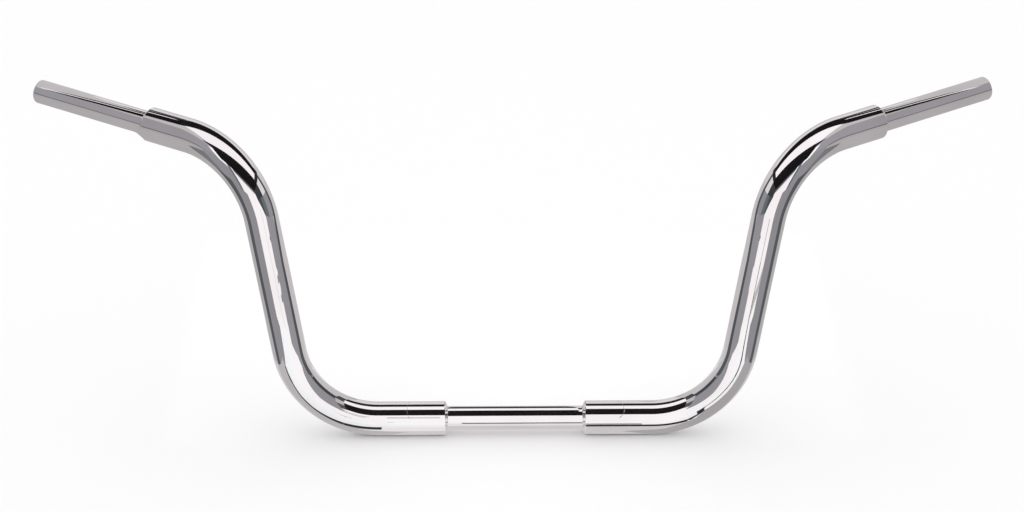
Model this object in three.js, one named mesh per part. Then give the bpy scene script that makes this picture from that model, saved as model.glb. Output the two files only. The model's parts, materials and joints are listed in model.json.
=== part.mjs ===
// Motorcycle handlebar of the tall, wide kind: a thin clamp tube in the middle, two fat riser tubes with
// a lower and an upper bend each, and thin grip tubes at the ends. Each change of diameter is a steel
// bush inside the fat tube and a dressed weld round its mouth.
//
// Millimetres. The origin is the middle of the clamp tube, which lies along X.
// +X is the rider's left, +Y points back to the rider and +Z is up, along the plane of the risers.

import * as THREE from "three";

// Tube sections: 7/8 inch for the clamp and the grips, 1-1/4 inch for the risers.
const THIN_OD = 22.2;
const THIN_WALL = 3.0;
const FAT_OD = 31.75;
const FAT_WALL = 2.4;

// Route of one half of the bar, along its centre line from the middle outwards.
const CLAMP_HALF = 65; // middle to the mouth of the riser tube
const LOWER_BEND_START = 128; // middle to the start of the lower bend
const BEND_RADIUS = 82.5; // the same die makes both bends
const RISER_LENGTH = 132; // straight between the bends
const RISER_LEAN = 9.25; // degrees outwards from vertical
const UPPER_STRAIGHT = 42; // end of the upper bend to the mouth of the riser tube
const GRIP_LENGTH = 127; // grip tube that shows outside the riser tube
const GRIP_SWEEP = 30; // degrees back from the X axis, in plan
const GRIP_RISE = 5; // degrees up

// How the tubes join.
const INSERT = 38; // length of thin tube and bush inside the riser tube
const GAP = 0.3; // joint clearance along an axis
const BUSH_OUTER_RADIUS = 13.0;
const BUSH_INNER_RADIUS = 11.55;
const BUSH_LENGTH = 32;
const WELD_INNER_RADIUS = 11.5;
const WELD_BASE_RADIUS = 15.6;
const WELD_TOE_RADIUS = 11.9;
const WELD_LAND = 0.5; // short cylinder at the weld's base
const WELD_HEIGHT = 3.7;
const END_CHAMFER = 1.2; // outer edge of the grip tube's open end
const BUSH_CHAMFER = 0.5;

// Facets.
const SIDES = 24;
const RISER_STEPS = 48;

const UP = new THREE.Vector3(0, 1, 0); // axis of a turned piece before it is placed

const SIDES_OF_BAR = [
  { name: "left", sign: 1 },
  { name: "right", sign: -1 },
];

function chrome(shade, roughness) {
  return new THREE.MeshStandardMaterial({
    color: new THREE.Color(shade, shade, shade * 1.01),
    roughness,
    metalness: 1,
  });
}

const plated = () => chrome(0.82, 0.08);
const bareSteel = () => chrome(0.45, 0.4);

// A circular bend that turns from one direction to another.
class Bend extends THREE.Curve {
  constructor(start, from, to, radius) {
    super();
    this.axis = from.clone().cross(to).normalize();
    this.angle = from.angleTo(to);
    const inward = this.axis.clone().cross(from);
    this.centre = start.clone().addScaledVector(inward, radius);
    this.arm = start.clone().sub(this.centre);
  }

  getPoint(t, target = new THREE.Vector3()) {
    return target.copy(this.arm).applyAxisAngle(this.axis, this.angle * t).add(this.centre);
  }
}

// Directions and key points of the half of the bar on one side.
function halfBar(sign) {
  const lean = THREE.MathUtils.degToRad(RISER_LEAN);
  const sweep = THREE.MathUtils.degToRad(GRIP_SWEEP);
  const rise = THREE.MathUtils.degToRad(GRIP_RISE);
  const outwards = new THREE.Vector3(sign, 0, 0);
  const upwards = new THREE.Vector3(sign * Math.sin(lean), 0, Math.cos(lean));
  const along = new THREE.Vector3(
    sign * Math.cos(sweep) * Math.cos(rise),
    Math.sin(sweep) * Math.cos(rise),
    Math.sin(rise),
  );

  const clampMouth = outwards.clone().multiplyScalar(CLAMP_HALF);
  const lowerStart = outwards.clone().multiplyScalar(LOWER_BEND_START);
  const lowerBend = new Bend(lowerStart, outwards, upwards, BEND_RADIUS);
  const lowerEnd = lowerBend.getPoint(1);
  const upperStart = lowerEnd.clone().addScaledVector(upwards, RISER_LENGTH);
  const upperBend = new Bend(upperStart, upwards, along, BEND_RADIUS);
  const upperEnd = upperBend.getPoint(1);
  const gripMouth = upperEnd.clone().addScaledVector(along, UPPER_STRAIGHT);

  const route = new THREE.CurvePath();
  route.add(new THREE.LineCurve3(clampMouth, lowerStart));
  route.add(lowerBend);
  route.add(new THREE.LineCurve3(lowerEnd, upperStart));
  route.add(upperBend);
  route.add(new THREE.LineCurve3(upperEnd, gripMouth));

  const inwards = outwards.clone().negate();
  return { route, clampMouth, inwards, gripMouth, along };
}

// A round tube with open ends, bent along a route.
function bentTube(route, outerDiameter, wall) {
  const section = new THREE.Shape();
  section.absarc(0, 0, outerDiameter / 2, 0, 2 * Math.PI, false);
  const bore = new THREE.Path();
  bore.absarc(0, 0, outerDiameter / 2 - wall, 0, 2 * Math.PI, true);
  section.holes.push(bore);
  return new THREE.ExtrudeGeometry(section, {
    steps: RISER_STEPS,
    curveSegments: SIDES / 2,
    bevelEnabled: false,
    extrudePath: route,
  });
}

// A ring-shaped solid turned about Y from a closed outline of [radius, height] points.
function turned(outline) {
  const points = [...outline, outline[0]].map(([radius, height]) => new THREE.Vector2(radius, height));
  return new THREE.LatheGeometry(points, SIDES);
}

// A straight tube from low to high, with its outer edge chamfered at either end.
function straightTube(outerDiameter, wall, low, high, lowChamfer, highChamfer) {
  const outer = outerDiameter / 2;
  const inner = outer - wall;
  return turned([
    [inner, low],
    [outer - lowChamfer, low],
    [outer, low + lowChamfer],
    [outer, high - highChamfer],
    [outer - highChamfer, high],
    [inner, high],
  ]);
}

function bushGeometry() {
  const wall = BUSH_OUTER_RADIUS - BUSH_INNER_RADIUS;
  return straightTube(2 * BUSH_OUTER_RADIUS, wall, -GAP - BUSH_LENGTH, -GAP, BUSH_CHAMFER, BUSH_CHAMFER);
}

function weldGeometry() {
  return turned([
    [WELD_INNER_RADIUS, GAP],
    [WELD_BASE_RADIUS, GAP],
    [WELD_BASE_RADIUS, GAP + WELD_LAND],
    [WELD_TOE_RADIUS, WELD_HEIGHT],
    [WELD_INNER_RADIUS, WELD_HEIGHT],
  ]);
}

const bar = new THREE.Group();

function add(name, geometry, material, position, direction) {
  const mesh = new THREE.Mesh(geometry, material);
  mesh.name = name;
  if (position) mesh.position.copy(position);
  if (direction) mesh.quaternion.setFromUnitVectors(UP, direction);
  bar.add(mesh);
}

const clampReach = CLAMP_HALF + INSERT;
add(
  "clamp_tube",
  straightTube(THIN_OD, THIN_WALL, -clampReach, clampReach, BUSH_CHAMFER, BUSH_CHAMFER),
  plated(),
  new THREE.Vector3(),
  new THREE.Vector3(1, 0, 0),
);

for (const { name, sign } of SIDES_OF_BAR) {
  const half = halfBar(sign);
  add(`riser_tube_${name}`, bentTube(half.route, FAT_OD, FAT_WALL), plated());

  const gripTube = straightTube(THIN_OD, THIN_WALL, -INSERT, GRIP_LENGTH, BUSH_CHAMFER, END_CHAMFER);
  add(`grip_tube_${name}`, gripTube, plated(), half.gripMouth, half.along);

  add(`clamp_bush_${name}`, bushGeometry(), bareSteel(), half.clampMouth, half.inwards);
  add(`grip_bush_${name}`, bushGeometry(), bareSteel(), half.gripMouth, half.along);

  add(`clamp_weld_${name}`, weldGeometry(), plated(), half.clampMouth, half.inwards);
  add(`grip_weld_${name}`, weldGeometry(), plated(), half.gripMouth, half.along);
}

export default bar;
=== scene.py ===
import json
import math

import bmesh
import bpy
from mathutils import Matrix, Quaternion, Vector


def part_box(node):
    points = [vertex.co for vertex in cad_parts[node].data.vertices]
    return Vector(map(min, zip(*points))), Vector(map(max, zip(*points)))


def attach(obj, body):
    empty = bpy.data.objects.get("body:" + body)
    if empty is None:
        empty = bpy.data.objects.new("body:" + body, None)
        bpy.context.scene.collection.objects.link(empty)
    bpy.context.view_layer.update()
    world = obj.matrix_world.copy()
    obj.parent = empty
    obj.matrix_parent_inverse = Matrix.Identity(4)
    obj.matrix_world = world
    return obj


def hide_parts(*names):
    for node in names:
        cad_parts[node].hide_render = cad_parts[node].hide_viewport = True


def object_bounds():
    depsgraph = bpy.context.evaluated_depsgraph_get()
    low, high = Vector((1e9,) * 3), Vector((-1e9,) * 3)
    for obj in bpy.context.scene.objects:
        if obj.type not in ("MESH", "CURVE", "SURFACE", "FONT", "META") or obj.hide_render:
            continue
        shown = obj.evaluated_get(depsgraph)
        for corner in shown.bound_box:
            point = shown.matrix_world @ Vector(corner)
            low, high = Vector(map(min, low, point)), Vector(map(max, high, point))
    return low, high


# A chrome-plated motorcycle handlebar on a pale studio floor.
#
# Metres, in the row frame: the origin is the middle of the clamp tube, +X is the rider's left, +Y points
# back to the rider and +Z is up. Every CAD node is replaced by a finer mesh of the same piece.

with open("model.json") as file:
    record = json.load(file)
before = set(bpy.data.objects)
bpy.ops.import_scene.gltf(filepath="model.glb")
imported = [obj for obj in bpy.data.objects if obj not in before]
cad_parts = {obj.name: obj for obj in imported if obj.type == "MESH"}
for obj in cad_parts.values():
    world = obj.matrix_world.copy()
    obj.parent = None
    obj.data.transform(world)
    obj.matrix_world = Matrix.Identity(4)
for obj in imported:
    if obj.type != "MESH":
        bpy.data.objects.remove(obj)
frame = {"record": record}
cad_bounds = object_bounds()

# ---------------------------------------------------------------- dimensions

mounts = {mount["name"]: mount for mount in frame["record"]["mounts"]}
clamp_seat = mounts["clamp_seat"]["dims"]
bar_end_axis = Vector(mounts["bar_end_left"]["axis"])

THIN_RADIUS = clamp_seat["r_mm"] / 1000
CLAMP_HALF = clamp_seat["length_mm"] / 2000  # middle to the mouth of the riser tube
FAT_RADIUS = -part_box("riser_tube_left")[0].y  # the riser tube starts on the axis, at Y = 0
THIN_WALL = 0.003
FAT_WALL = 0.0024

LOWER_BEND_START = 0.128  # middle to the start of the lower bend
BEND_RADIUS = 0.0825
RISER_LENGTH = 0.132  # straight between the bends
RISER_LEAN = math.radians(9.25)  # outwards from vertical
UPPER_STRAIGHT = 0.042  # end of the upper bend to the mouth of the riser tube
GRIP_LENGTH = 0.127  # grip tube that shows outside the riser tube
INSERT = 0.038  # thin tube inside the riser tube

FAT_ROUND = 0.0009  # rounded outer edge at the mouth of the riser tube
THIN_ROUND = 0.0011  # rounded outer edge at the open end of the grip tube
HIDDEN_ROUND = 0.0005  # rounded edge at the ends that lie inside the riser tubes
BORE_CHAMFER = 0.0004
BORE_MARGIN = 1e-6  # lets the faces at the bore's own radius count as bore
SUPPORT = 0.00012  # distance of the ring that holds a rounded edge in shape

CLAMP_WELD_SLOPE = math.radians(66)  # from the tube's side to the normal of the weld's cone
GRIP_WELD_SLOPE = math.radians(52)
UNDERSIDE = Vector((0, -0.37, -0.93))  # where a grip weld runs longest along the thin tube
LONG_UNDERSIDE = {"left": 0.8, "right": 2.8}  # how much longer, as a share of the weld's length
WELD_FILLET = 0.0009  # hollow radius where the weld meets the thin tube
WELD_SINK = 0.00025  # how far the weld's hidden rings lie inside the tubes
WIDE_RIPPLE = 0.03  # unevenness of the dressing, as a share of the weld's length
FINE_RIPPLE = 0.02

BUSH_OUTER_RADIUS = 0.013
BUSH_INNER_RADIUS = 0.01155
BUSH_LENGTH = 0.032
BUSH_GAP = 0.0003
BUSH_CHAMFER = 0.0005

SIDES = 96
STRAIGHT_STEP = 0.004
BEND_STEP = math.radians(1.5)
ARC_STEPS = 8
SHARP_EDGE = math.radians(32)

# ---------------------------------------------------------------- node helpers


def new_material(name):
    material = bpy.data.materials.new(name)
    material.use_nodes = True
    material.node_tree.nodes.clear()
    return material, material.node_tree


def node(tree, kind, values=None, **properties):
    made = tree.nodes.new(kind)
    for key, value in properties.items():
        setattr(made, key, value)
    for key, value in (values or {}).items():
        made.inputs[key].default_value = value
    return made


def link(tree, source, output, target, entry):
    tree.links.new(source.outputs[output], target.inputs[entry])


def uv_noise(tree, uv, along, across, detail=2.0):
    """Noise with its grain size, in metres, along and across a tube."""
    mapping = node(tree, "ShaderNodeMapping", {"Scale": (1 / along, 1 / across, 1)})
    link(tree, uv, "UV", mapping, "Vector")
    noise = node(tree, "ShaderNodeTexNoise", {"Scale": 1.0, "Detail": detail, "Roughness": 0.55})
    link(tree, mapping, "Vector", noise, "Vector")
    return noise


def space_noise(tree, place, grain, detail=2.0):
    """Noise with its grain size in metres, the same in all directions."""
    noise = node(tree, "ShaderNodeTexNoise", {"Scale": 1 / grain, "Detail": detail, "Roughness": 0.55})
    link(tree, place, "Object", noise, "Vector")
    return noise


def ramp(tree, source, low, high, from_low=0.35, from_high=0.65):
    """The source's noise, stretched to run from low to high."""
    made = node(
        tree,
        "ShaderNodeMapRange",
        {"From Min": from_low, "From Max": from_high, "To Min": low, "To Max": high},
    )
    link(tree, source, "Fac", made, "Value")
    return made


def add_up(tree, *sources):
    total = sources[0]
    for source in sources[1:]:
        adder = node(tree, "ShaderNodeMath", operation="ADD")
        link(tree, total, 0, adder, 0)
        link(tree, source, 0, adder, 1)
        total = adder
    return total


def bump(tree, height, distance, strength, before=None):
    made = node(tree, "ShaderNodeBump", {"Distance": distance, "Strength": strength})
    link(tree, height, 0, made, "Height")
    if before:
        link(tree, before, "Normal", made, "Normal")
    return made


# ---------------------------------------------------------------- materials


def chrome(name, bright, dull, roughness, haze, peel):
    """Bright chrome plate: polishing lines, faint waviness, hazy patches and a slight change of tone."""
    material, tree = new_material(name)
    uv = node(tree, "ShaderNodeTexCoord")
    place = node(tree, "ShaderNodeTexCoord")
    shader = node(tree, "ShaderNodeBsdfPrincipled", {"Metallic": 1.0, "IOR": 2.5})

    tone = ramp(tree, space_noise(tree, place, 0.06), 0.0, 1.0)
    colour = node(tree, "ShaderNodeMix", data_type="RGBA")
    colour.inputs[6].default_value = (*bright, 1)
    colour.inputs[7].default_value = (*dull, 1)
    link(tree, tone, "Result", colour, 0)
    link(tree, colour, 2, shader, "Base Color")

    lines = ramp(tree, uv_noise(tree, uv, 0.02, 0.0004, 3.0), 0.0, haze * 0.6)
    patches = ramp(tree, space_noise(tree, place, 0.022, 4.0), roughness, roughness + haze, 0.45, 0.7)
    link(tree, add_up(tree, lines, patches), 0, shader, "Roughness")

    polish = bump(tree, uv_noise(tree, uv, 0.03, 0.0007, 2.0), 0.000002, peel)
    wave = bump(tree, space_noise(tree, place, 0.012, 1.0), 0.00002, peel, polish)
    link(tree, wave, "Normal", shader, "Normal")

    output = node(tree, "ShaderNodeOutputMaterial")
    link(tree, shader, "BSDF", output, "Surface")
    return material


def steel(name, light, dark, grain_along, grain_across, roughness):
    """Unplated steel: turning or drawing lines, with a darker stain in patches."""
    material, tree = new_material(name)
    uv = node(tree, "ShaderNodeTexCoord")
    place = node(tree, "ShaderNodeTexCoord")
    shader = node(tree, "ShaderNodeBsdfPrincipled", {"Metallic": 1.0, "IOR": 2.5})

    stain = ramp(tree, space_noise(tree, place, 0.006, 5.0), 0.0, 1.0, 0.4, 0.68)
    colour = node(tree, "ShaderNodeMix", data_type="RGBA")
    colour.inputs[6].default_value = (*light, 1)
    colour.inputs[7].default_value = (*dark, 1)
    link(tree, stain, "Result", colour, 0)
    link(tree, colour, 2, shader, "Base Color")

    lines = uv_noise(tree, uv, grain_along, grain_across, 3.0)
    link(tree, ramp(tree, lines, roughness, roughness + 0.2), "Result", shader, "Roughness")
    link(tree, bump(tree, lines, 0.00003, 0.6), "Normal", shader, "Normal")

    output = node(tree, "ShaderNodeOutputMaterial")
    link(tree, shader, "BSDF", output, "Surface")
    return material


fat_chrome = chrome("chrome on riser tube", (0.93, 0.93, 0.94), (0.88, 0.875, 0.885), 0.02, 0.03, 0.2)
thin_chrome = chrome("chrome on thin tube", (0.92, 0.92, 0.93), (0.87, 0.865, 0.875), 0.02, 0.03, 0.2)
weld_chrome = chrome("chrome on dressed weld", (0.9, 0.9, 0.91), (0.84, 0.835, 0.845), 0.04, 0.05, 0.5)
bore_steel = steel("drawn steel bore", (0.42, 0.41, 0.4), (0.2, 0.16, 0.13), 0.03, 0.0006, 0.35)
bush_steel = steel("turned steel bush", (0.45, 0.45, 0.46), (0.3, 0.29, 0.28), 0.0004, 0.02, 0.3)

# ---------------------------------------------------------------- route of the bar


class Station:
    """A place on the centre line. The turn's +Z is the tube's axis, and along is the distance so far."""

    def __init__(self, point, turn, along=0.0):
        self.point = point
        self.turn = turn
        self.along = along

    @property
    def direction(self):
        return self.turn @ Vector((0, 0, 1))

    def ahead(self, distance):
        return Station(self.point + self.direction * distance, self.turn, self.along + distance)

    def reversed(self):
        return Station(self.point, self.turn @ Quaternion((1, 0, 0), math.pi), self.along)


def straight(start, length):
    """Stations after start, along a straight."""
    count = max(1, round(length / STRAIGHT_STEP))
    return [start.ahead(length * (i + 1) / count) for i in range(count)]


def bend(start, to, radius):
    """Stations after start, round a circular bend that ends in the direction to."""
    axis = start.direction.cross(to).normalized()
    angle = start.direction.angle(to)
    centre = start.point + axis.cross(start.direction) * radius
    count = math.ceil(angle / BEND_STEP)
    made = []
    for i in range(count):
        part = Quaternion(axis, angle * (i + 1) / count)
        point = centre + part @ (start.point - centre)
        made.append(Station(point, part @ start.turn, start.along + radius * angle * (i + 1) / count))
    return made


def half_bar(sign):
    """Stations of one riser tube, from its mouth at the clamp tube to its mouth at the grip tube."""
    upwards = Vector((sign * math.sin(RISER_LEAN), 0, math.cos(RISER_LEAN)))
    along = Vector((sign * bar_end_axis.x, bar_end_axis.y, bar_end_axis.z))
    route = [Station(Vector((sign * CLAMP_HALF, 0, 0)), Quaternion((0, 1, 0), sign * math.pi / 2))]
    route += straight(route[-1], LOWER_BEND_START - CLAMP_HALF)
    route += bend(route[-1], upwards, BEND_RADIUS)
    route += straight(route[-1], RISER_LENGTH)
    route += bend(route[-1], along, BEND_RADIUS)
    route += straight(route[-1], UPPER_STRAIGHT)
    return route


# ---------------------------------------------------------------- meshes


def arc(centre_radius, centre_height, radius, start, end):
    """Outline points on an arc, as (distance from the axis, height along it). Angles are in degrees."""
    points = []
    for i in range(ARC_STEPS + 1):
        angle = math.radians(start + (end - start) * i / ARC_STEPS)
        points.append((centre_radius + radius * math.cos(angle), centre_height + radius * math.sin(angle)))
    return points


def ring_mesh(name, rings, materials, bore_radius=0.0, wobble=None):
    """A closed skin through rings of (station, radius, height).

    Faces within the bore radius get the second material. The wobble stretches the heights round each ring.
    """
    mesh = bpy.data.meshes.new(name)
    shape = bmesh.new()
    uv_layer = shape.loops.layers.uv.new("UVMap")
    loops = []
    for station, radius, height in rings:
        loop = []
        for i in range(SIDES):
            angle = 2 * math.pi * i / SIDES
            rise = height * (wobble(angle) if wobble else 1.0)
            offset = Vector((radius * math.cos(angle), radius * math.sin(angle), rise))
            loop.append(shape.verts.new(station.point + station.turn @ offset))
        loops.append(loop)

    for k, loop in enumerate(loops):
        following = loops[(k + 1) % len(loops)]
        station, radius, height = rings[k]
        next_station, next_radius, next_height = rings[(k + 1) % len(rings)]
        reach = station.along + height
        next_reach = next_station.along + next_height
        if abs(next_reach - reach) < abs(next_radius - radius):
            next_reach = reach + abs(next_radius - radius)
        inside = max(radius, next_radius) < bore_radius
        width = 2 * math.pi * radius / SIDES
        for i in range(SIDES):
            j = (i + 1) % SIDES
            face = shape.faces.new((loop[i], loop[j], following[j], following[i]))
            face.smooth = True
            face.material_index = 1 if inside else 0
            low = i * width
            high = (i + 1) * width
            places = ((reach, low), (reach, high), (next_reach, high), (next_reach, low))
            for corner, place in zip(face.loops, places):
                corner[uv_layer].uv = place

    bmesh.ops.recalc_face_normals(shape, faces=shape.faces)
    for edge in shape.edges:
        if edge.calc_face_angle(0) > SHARP_EDGE:
            edge.smooth = False
    shape.to_mesh(mesh)
    shape.free()
    for material in materials:
        mesh.materials.append(material)
    piece = bpy.data.objects.new(name, mesh)
    bpy.context.scene.collection.objects.link(piece)
    return piece


def settle(piece):
    """Puts a piece in place of the CAD node of the same name."""
    node_name = piece.name.removesuffix("_skin")
    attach(piece, "root")
    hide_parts(node_name)


def tube_end(outer, inner, rounding):
    """Outline of a tube's open end at height 0, from the outside to the bore."""
    return (
        [(outer, -rounding - SUPPORT)]
        + arc(outer - rounding, -rounding, rounding, 0, 90)
        + [(outer - rounding - SUPPORT, 0)]
        + [(inner + BORE_CHAMFER, 0), (inner, -BORE_CHAMFER), (inner, -BORE_CHAMFER - SUPPORT)]
    )


def tube(name, stations, outer, wall, first_round, last_round, materials):
    """A tube with both ends open, along stations."""
    inner = outer - wall
    first = [(stations[0], radius, -height) for radius, height in tube_end(outer, inner, first_round)]
    last = [(stations[-1], radius, height) for radius, height in tube_end(outer, inner, last_round)]
    middle = stations[1:-1]
    rings = [(station, outer, 0.0) for station in middle]
    rings += last
    rings += [(station, inner, 0.0) for station in reversed(middle)]
    rings += reversed(first)
    return ring_mesh(name, rings, materials, bore_radius=inner + BORE_MARGIN)


def fat_tube(name, route):
    """A riser tube along its route."""
    return tube(name, route, FAT_RADIUS, FAT_WALL, FAT_ROUND, FAT_ROUND, [fat_chrome, bore_steel])


def thin_tube(name, start, length, last_round):
    """A straight thin tube, whose start is hidden inside a riser tube."""
    route = [start] + straight(start, length)
    return tube(name, route, THIN_RADIUS, THIN_WALL, HIDDEN_ROUND, last_round, [thin_chrome, bore_steel])


def weld(name, station, slope, wobble):
    """The dressed weld: a cone from the rounded mouth of the riser tube down to the thin tube."""
    out = math.cos(slope)
    along = math.sin(slope)
    rim_radius = FAT_RADIUS - FAT_ROUND + FAT_ROUND * out
    rim_height = -FAT_ROUND + FAT_ROUND * along
    hollow_radius = THIN_RADIUS + WELD_FILLET
    hollow_height = rim_height + (WELD_FILLET - (hollow_radius - rim_radius) * out) / along
    outline = [(THIN_RADIUS - WELD_SINK, -FAT_ROUND)]
    for sink in (4 * WELD_SINK, WELD_SINK, 0):
        outline.append((rim_radius - sink * out, rim_height - sink * along))
    outline += arc(hollow_radius, hollow_height, WELD_FILLET, 180 + math.degrees(slope), 180)
    outline.append((THIN_RADIUS - WELD_SINK, hollow_height + SUPPORT))
    rings = [(station, radius, height) for radius, height in outline]
    return ring_mesh(name, rings, [weld_chrome], wobble=wobble)


def dressed(station, phase, underside=0.0):
    """How a hand-dressed weld's length changes round the tube. Its underside can be longer."""
    low = station.turn.inverted() @ UNDERSIDE
    low_angle = math.atan2(low.y, low.x)

    def wobble(angle):
        ripple = WIDE_RIPPLE * math.sin(3 * angle + phase) + FINE_RIPPLE * math.sin(7 * angle + 2 * phase)
        facing = max(0.0, math.cos(angle - low_angle))
        return 1 + ripple + underside * facing**2

    return wobble


def bush(name, station):
    """The turned bush inside the riser tube's mouth."""
    high = -BUSH_GAP
    low = high - BUSH_LENGTH
    chamfer = BUSH_CHAMFER
    outline = [
        (BUSH_INNER_RADIUS, low),
        (BUSH_OUTER_RADIUS - chamfer, low),
        (BUSH_OUTER_RADIUS, low + chamfer),
        (BUSH_OUTER_RADIUS, high - chamfer),
        (BUSH_OUTER_RADIUS - chamfer, high),
        (BUSH_INNER_RADIUS, high),
    ]
    rings = [(station, radius, height) for radius, height in outline]
    return ring_mesh(name, rings, [bush_steel])


# ---------------------------------------------------------------- the bar

sides = {"left": 1, "right": -1}

clamp_start = Station(Vector((-CLAMP_HALF - INSERT, 0, 0)), Quaternion((0, 1, 0), math.pi / 2))
clamp_tube = thin_tube("clamp_tube_skin", clamp_start, 2 * (CLAMP_HALF + INSERT), HIDDEN_ROUND)
settle(clamp_tube)

for side, sign in sides.items():
    route = half_bar(sign)
    settle(fat_tube(f"riser_tube_{side}_skin", route))

    grip_mouth = route[-1]
    grip_start = grip_mouth.ahead(-INSERT)
    grip = thin_tube(f"grip_tube_{side}_skin", grip_start, INSERT + GRIP_LENGTH, THIN_ROUND)
    settle(grip)

    clamp_mouth = route[0].reversed()
    clamp_dressing = dressed(clamp_mouth, 1.3 * sign)
    grip_dressing = dressed(grip_mouth, 2.1 * sign, LONG_UNDERSIDE[side])
    settle(weld(f"clamp_weld_{side}_skin", clamp_mouth, CLAMP_WELD_SLOPE, clamp_dressing))
    settle(weld(f"grip_weld_{side}_skin", grip_mouth, GRIP_WELD_SLOPE, grip_dressing))
    settle(bush(f"clamp_bush_{side}_skin", clamp_mouth))
    settle(bush(f"grip_bush_{side}_skin", grip_mouth))

# ---------------------------------------------------------------- studio

FLOOR_Z = cad_bounds[0][2]
FLOOR_HALF = 30.0
FLOOR_PAINT = 0.9
WORLD_LIGHT = 1.1

CARD_FOOT = -0.016  # lower edge of the upright cards that stand on the floor
CARD_FLOOR = -0.0125  # height of the cards that lie over the floor
BEND_LIFT = 0.0003  # how far the grey beside the bends lies over them
BESIDE_LIFT = 0.0005
RIBBON_LIFT = 0.001

FRONT_WALL = -0.32
CANOPY_FRONT = -0.16
MARK_LIFT = 0.0005  # how far a mark on one of these two stands before it
CHROME_SHARE = 0.9  # part of the light that the chrome gives back

BLACK = 22
WHITE = 244
RECTANGLE = ((0, 0), (1, 0), (1, 1), (0, 1))  # low or high end of two ranges, corner by corner
NO_LEAN = {"left": 0.0, "right": 0.0}
INNER_LEAN = {"left": 0.062, "right": 0.031}  # edge-on to the clamp tube's reflections
FRONT_LEAN = {"left": 0.075, "right": 0.033}  # the same, for the cards nearer the front


def glow(name, colour):
    """A surface that gives out this light, the same all over."""
    material, tree = new_material(name)
    light = node(tree, "ShaderNodeEmission", {"Color": (*colour, 1), "Strength": 1.0})
    output = node(tree, "ShaderNodeOutputMaterial")
    link(tree, light, "Emission", output, "Surface")
    return material


def floor_material():
    """Matt pale paint."""
    material, tree = new_material("floor paint")
    shader = node(tree, "ShaderNodeBsdfPrincipled", {"Roughness": 0.9})
    shader.inputs["Base Color"].default_value = (FLOOR_PAINT, FLOOR_PAINT, FLOOR_PAINT, 1)
    output = node(tree, "ShaderNodeOutputMaterial")
    link(tree, shader, "BSDF", output, "Surface")
    return material


def tone(level):
    """Light of a card that shows at this level, of 255, in the chrome. The dark greys are cool."""
    if level > 150:
        tint = (1.01, 0.988, 0.992)
    elif level > 110:
        tint = (1.0, 0.985, 1.01)
    elif level > 45:
        tint = (0.95, 1.0, 1.03)
    else:
        tint = (1.08, 0.97, 0.97)
    return [((level * part / 255 + 0.055) / 1.055) ** 2.4 / CHROME_SHARE for part in tint]


def sheet(name, corners, material):
    """A flat sheet with these corners."""
    mesh = bpy.data.meshes.new(name)
    mesh.from_pydata([tuple(corner) for corner in corners], [], [tuple(range(len(corners)))])
    mesh.materials.append(material)
    made = bpy.data.objects.new(name, mesh)
    bpy.context.scene.collection.objects.link(made)
    return made


def card(name, corners, level):
    """A studio card that shows only in reflections."""
    made = sheet(name, corners, glow(name, tone(level)))
    made.visible_camera = False
    made.visible_diffuse = False
    made.visible_shadow = False


def flat_card(name, height, xs, ys, level):
    """A level card."""
    card(name, [(xs[a], ys[b], height) for a, b in RECTANGLE], level)


def flat_pair(name, height, xs, ys, level):
    """A level card and its mirror image on the other side of the middle."""
    flat_card(name + " left", height, xs, ys, level)
    flat_card(name + " right", height, (-xs[1], -xs[0]), ys, level)


def wall_card(name, y, xs, zs, level):
    """An upright card across the bar."""
    card(name, [(xs[a], y, zs[b]) for a, b in RECTANGLE], level)


def cheek_pair(name, x, ys, zs, level, leans=NO_LEAN):
    """An upright card on either side of the middle, along Y. It leans outwards by a share of its height."""
    for side, sign in sides.items():
        corners = [(sign * (x + leans[side] * zs[b]), ys[a], zs[b]) for a, b in RECTANGLE]
        card(f"{name} {side}", corners, level)


def outline_pair(name, x, outline, level):
    """An upright card on either side of the middle, with an outline of (y, z) points."""
    for side, sign in sides.items():
        card(f"{name} {side}", [(sign * x, y, z) for y, z in outline], level)


def flat_outline_pair(name, height, outline, level):
    """A level card on either side of the middle, with an outline of (x, y) points."""
    for side, sign in sides.items():
        card(f"{name} {side}", [(sign * x, y, height) for x, y in outline], level)


def ribbon(name, places, width, level):
    """A narrow strip just over the floor cards, through these (x, y) places."""
    height = CARD_FLOOR + RIBBON_LIFT
    for k in range(len(places) - 1):
        start = Vector((*places[k], height))
        end = Vector((*places[k + 1], height))
        aside = (end - start).normalized().cross(Vector((0, 0, 1))) * (width / 2)
        card(f"{name} {k}", [start - aside, end - aside, end + aside, start + aside], level)


def canopy():
    """Cards over the clamp tube, between the risers."""
    height = 0.15
    middle = (-0.065, 0.065)
    flat_card("canopy middle black", height, middle, (-0.113, 0.017), BLACK)
    flat_card("canopy middle white", height, middle, (0.023, 0.108), WHITE)
    flat_card("canopy middle dark", height, middle, (0.112, 0.28), 50)
    flat_card("canopy middle grey", height, middle, (0.28, 0.60), 115)
    wing = (0.065, 0.14)
    flat_pair("canopy wing black", height, wing, (-0.130, -0.022), BLACK)
    flat_pair("canopy wing white", height, wing, (-0.018, 0.043), WHITE)
    flat_pair("canopy wing dark", height, wing, (0.052, 0.12), 35)
    flat_pair("canopy wing pale", height, wing, (0.13, 0.60), 212)
    wall_card("canopy front", CANOPY_FRONT, (-0.14, 0.14), (0.0, height), WHITE)


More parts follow.
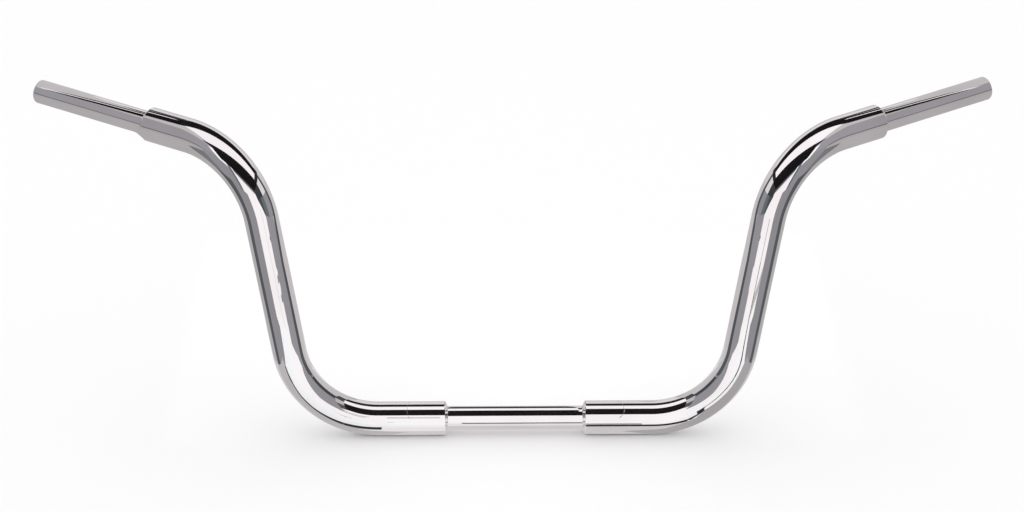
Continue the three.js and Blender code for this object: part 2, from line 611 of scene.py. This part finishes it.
def inner_cheeks():
    """What the inner side of the lower bends sees."""
    x = 0.10
    low = (0.05, 0.088)
    high = (0.088, 0.0995)
    cheek_pair("inner low light", x, (0.015, 0.20), low, 192, INNER_LEAN)
    cheek_pair("inner low dark", x, (-0.022, 0.015), low, 70, INNER_LEAN)
    cheek_pair("inner low grey", x, (-0.155, -0.022), low, 145, FRONT_LEAN)
    cheek_pair("inner high light", x, (0.05, 0.20), high, 192, INNER_LEAN)
    cheek_pair("inner high dark", x, (-0.006, 0.05), high, 70, INNER_LEAN)
    cheek_pair("inner high soft", x, (-0.05, -0.006), high, 185, INNER_LEAN)
    cheek_pair("inner high grey", x, (-0.11, -0.05), high, 85, INNER_LEAN)


def riser_cheeks():
    """What the inner side of the risers sees."""
    x = 0.15
    low = (0.055, 0.20)
    high = (0.20, 0.25)
    top = (0.25, 0.285)
    cheek_pair("riser low light", x, (-0.009, 0.20), low, 190)
    cheek_pair("riser low grey", x, (-0.088, -0.009), low, 145)
    cheek_pair("riser middle grey", x, (-0.10, -0.088), (0.13, 0.20), 145)
    cheek_pair("riser high light", x, (0.02, 0.20), high, 190)
    cheek_pair("riser high soft", x, (-0.045, 0.02), high, 142)
    cheek_pair("riser high grey", x, (-0.09, -0.045), high, 105)
    cheek_pair("riser top light", x, (0.02, 0.20), top, 200)
    cheek_pair("riser top pale", x, (-0.045, 0.02), top, 215)
    cheek_pair("riser top dark", x, (-0.20, -0.045), top, 60)
    cheek_pair("riser top strip", x, (-0.05, 0.06), (0.285, 0.30), 40)

    wedge = [(-0.09, 0.19), (-0.09, 0.25), (-0.20, 0.25), (-0.15, 0.225)]
    line_front = [(-0.020, 0.055), (-0.020, 0.15), (0.004, 0.22), (0.008, 0.285)]
    line_back = [(0.035, 0.285), (0.030, 0.22), (0.002, 0.15), (0.002, 0.055)]
    outline_pair("riser wedge", x, wedge, 75)
    outline_pair("riser line", x + 0.001, line_front + line_back, 84)


def outer_flags():
    """What the outer side of the risers and upper bends sees."""
    x = 0.32
    low = (CARD_FOOT, 0.21)
    cheek_pair("outer light", x, (0.004, 0.15), low, 172)
    cheek_pair("outer dark", x, (-0.045, 0.004), low, 88)
    cheek_pair("outer grey", x, (-0.25, -0.045), low, 140)
    cheek_pair("outer high light", x, (0.004, 0.15), (0.21, 0.245), 168)
    cheek_pair("outer high line", x, (-0.020, 0.004), (0.21, 0.255), 118)
    cheek_pair("outer high grey", x, (-0.115, -0.020), (0.21, 0.27), 142)
    cheek_pair("outer high dark", x, (-0.155, -0.115), (0.21, 0.295), 103)
    flat_pair("outer floor", CARD_FLOOR, (0.285, 0.32), (-0.25, -0.10), 138)


def floor_strips():
    """Strips under the clamp tube and the straights beside it. The dark line is painted shadow: it stands
    in for the bar's shadow on the floor, as the chrome reflects it.
    """
    dark = (-0.040, -0.028)
    # Painted shadow: these two dark strips in front of the clamp tube stand in for the bar's shadow on the
    # floor.
    flat_card("floor line left", CARD_FLOOR, (0.066, 0.165), dark, 45)
    flat_card("painted floor shadow middle", CARD_FLOOR, (-0.05, 0.066), dark, 90)
    flat_card("floor no line", CARD_FLOOR, (-0.125, -0.05), dark, 235)
    flat_card("floor faint line", CARD_FLOOR, (0.066, 0.12), (-0.058, -0.041), 150)
    flat_card("floor strip left", CARD_FLOOR, (0.066, 0.175), (-0.028, -0.016), 200)
    flat_card("floor strip right", CARD_FLOOR, (-0.175, 0.066), (-0.028, -0.016), 225)
    flat_card("floor back", CARD_FLOOR, (-0.33, 0.33), (-0.016, 0.5), 200)
    flat_pair("floor beside", CARD_FLOOR + BESIDE_LIFT, (0.40, 2.0), (-1.0, 1.0), 170)


def floor_beside_bends():
    """Grey floor beside the lower bends, edged by a dark line that differs from side to side."""
    height = CARD_FLOOR + BEND_LIFT
    left_edge = [(0.175, -0.030), (0.182, -0.048), (0.198, -0.061), (0.219, -0.072), (0.27, -0.118)]
    right_edge = [(0.175, -0.028), (0.204, -0.036), (0.228, -0.047), (0.252, -0.072), (0.285, -0.108)]
    outside = [(0.33, -0.12), (0.33, 0.03), (0.14, -0.006), (0.10, -0.014), (0.14, -0.018)]
    card("bend floor left", [(x, y, height) for x, y in left_edge + outside], 163)
    card("bend floor right", [(-x, y, height) for x, y in right_edge + outside], 180)

    right_line = [(-0.125, -0.024), (-0.163, -0.025), (-0.204, -0.033), (-0.228, -0.044), (-0.252, -0.068)]
    ribbon("bend line right", right_line, 0.009, 50)
    ribbon("bend line right end", [(-0.252, -0.068), (-0.287, -0.106)], 0.016, 70)
    ribbon("bend line left", [(0.165, -0.031), (0.180, -0.052), (0.171, -0.114)], 0.009, 50)
    ribbon("bend line left low", [(0.180, -0.050), (0.198, -0.059), (0.219, -0.069)], 0.006, 120)
    high_line = [(0.171, -0.114), (0.199, -0.124), (0.221, -0.136), (0.233, -0.170), (0.212, -0.32)]
    ribbon("bend line left high", high_line, 0.018, 35)


def front_wall():
    """The wide white in front of the bar, with the black opening behind and over it."""
    wall_card("front white", FRONT_WALL, (-0.42, 0.42), (CARD_FOOT, 0.285), WHITE)

    far = -0.93
    wall_card("front far white", far, (-0.60, 0.60), (0.20, 0.44), 235)
    wall_card("front far dark", far, (-0.60, 0.60), (0.44, 0.52), 95)
    wall_card("front black", far, (-0.86, 0.86), (0.52, 1.40), BLACK)

    near = FRONT_WALL + MARK_LIFT
    wall_card("front line low", near, (0.200, 0.217), (CARD_FOOT, 0.05), 25)
    wall_card("front line high", near, (0.205, 0.217), (0.05, 0.12), 90)
    wall_card("front line right", near, (-0.129, -0.122), (CARD_FOOT, 0.20), 175)
    wall_card("front apron", near, (0.217, 0.42), (CARD_FOOT, 0.012), 185)

    dashes = CANOPY_FRONT + MARK_LIFT
    wall_card("front dash low", dashes, (-0.125, -0.072), (0.072, 0.080), 130)
    wall_card("front dash high", dashes, (-0.125, -0.072), (0.092, 0.100), 150)


def upper_cards():
    """Cards over the whole bar, which the upper bends and the grips see."""
    height = 0.592
    flat_card("upper white", height, (-0.45, 0.45), (-0.43, 0.05), WHITE)
    flat_card("upper black", height, (-0.38, 0.38), (0.05, 0.36), BLACK)
    flat_card("upper pale", height, (-0.45, 0.45), (0.40, 1.0), 215)
    flat_pair("upper dark", height - 0.001, (0.35, 0.43), (0.29, 0.40), 70)
    flat_card("upper front black", 0.473, (-0.44, 0.44), (-0.356, -0.158), BLACK)
    blade = [(0.38, 0.05), (0.70, 0.05), (0.70, 0.06), (0.38, 0.30)]
    flat_outline_pair("upper blade", height, blade, BLACK)
    line = [(0.40, 0.20), (0.70, 0.06), (0.70, 0.075), (0.40, 0.22)]
    flat_outline_pair("upper line", height - 0.002, line, WHITE)


def room():
    """Walls and ceiling round the studio."""
    x = 1.2
    length = (-1.2, 0.5)
    width = (-2.0, 2.0)
    ceiling = 1.35
    cheek_pair("room low", x, length, (0.0, 0.19), 166)
    cheek_pair("room horizon", x, length, (0.19, 0.30), 115)
    cheek_pair("room high", x, length, (0.30, 1.3), 150)
    wall_card("room back", 1.5, width, (CARD_FOOT, ceiling), 190)
    flat_card("room ceiling", ceiling, width, (-1.5, 1.5), 188)


reach = (-FLOOR_HALF, FLOOR_HALF)
sheet("floor", [(reach[a], reach[b], FLOOR_Z) for a, b in RECTANGLE], floor_material())

world = bpy.data.worlds.new("studio")
world.use_nodes = True
world.node_tree.nodes["Background"].inputs["Color"].default_value = (1, 1, 1, 1)
world.node_tree.nodes["Background"].inputs["Strength"].default_value = WORLD_LIGHT
bpy.context.scene.world = world

canopy()
inner_cheeks()
riser_cheeks()
outer_flags()
floor_strips()
floor_beside_bends()
front_wall()
upper_cards()
room()

# ---------------------------------------------------------------- camera

CAMERA_DISTANCE = 2.5
CAMERA_ELEVATION = math.radians(21.8)
CAMERA_AZIMUTH = math.radians(-0.84)
CAMERA_ROLL = math.radians(0.07)
AIM = Vector((-0.0031, 0, 0.1633))

towards_camera = Vector(
    (
        math.sin(CAMERA_AZIMUTH) * math.cos(CAMERA_ELEVATION),
        -math.cos(CAMERA_AZIMUTH) * math.cos(CAMERA_ELEVATION),
        math.sin(CAMERA_ELEVATION),
    )
)
camera_data = bpy.data.cameras.new("camera")
camera_data.lens = 96.0
camera_data.sensor_width = 36.0
camera = bpy.data.objects.new("camera", camera_data)
camera.location = AIM + towards_camera * CAMERA_DISTANCE
camera.rotation_mode = "QUATERNION"
camera.rotation_quaternion = towards_camera.to_track_quat("Z", "Y") @ Quaternion((0, 0, 1), CAMERA_ROLL)
bpy.context.scene.collection.objects.link(camera)
bpy.context.scene.camera = camera
bpy.context.scene.view_settings.view_transform = "Standard"
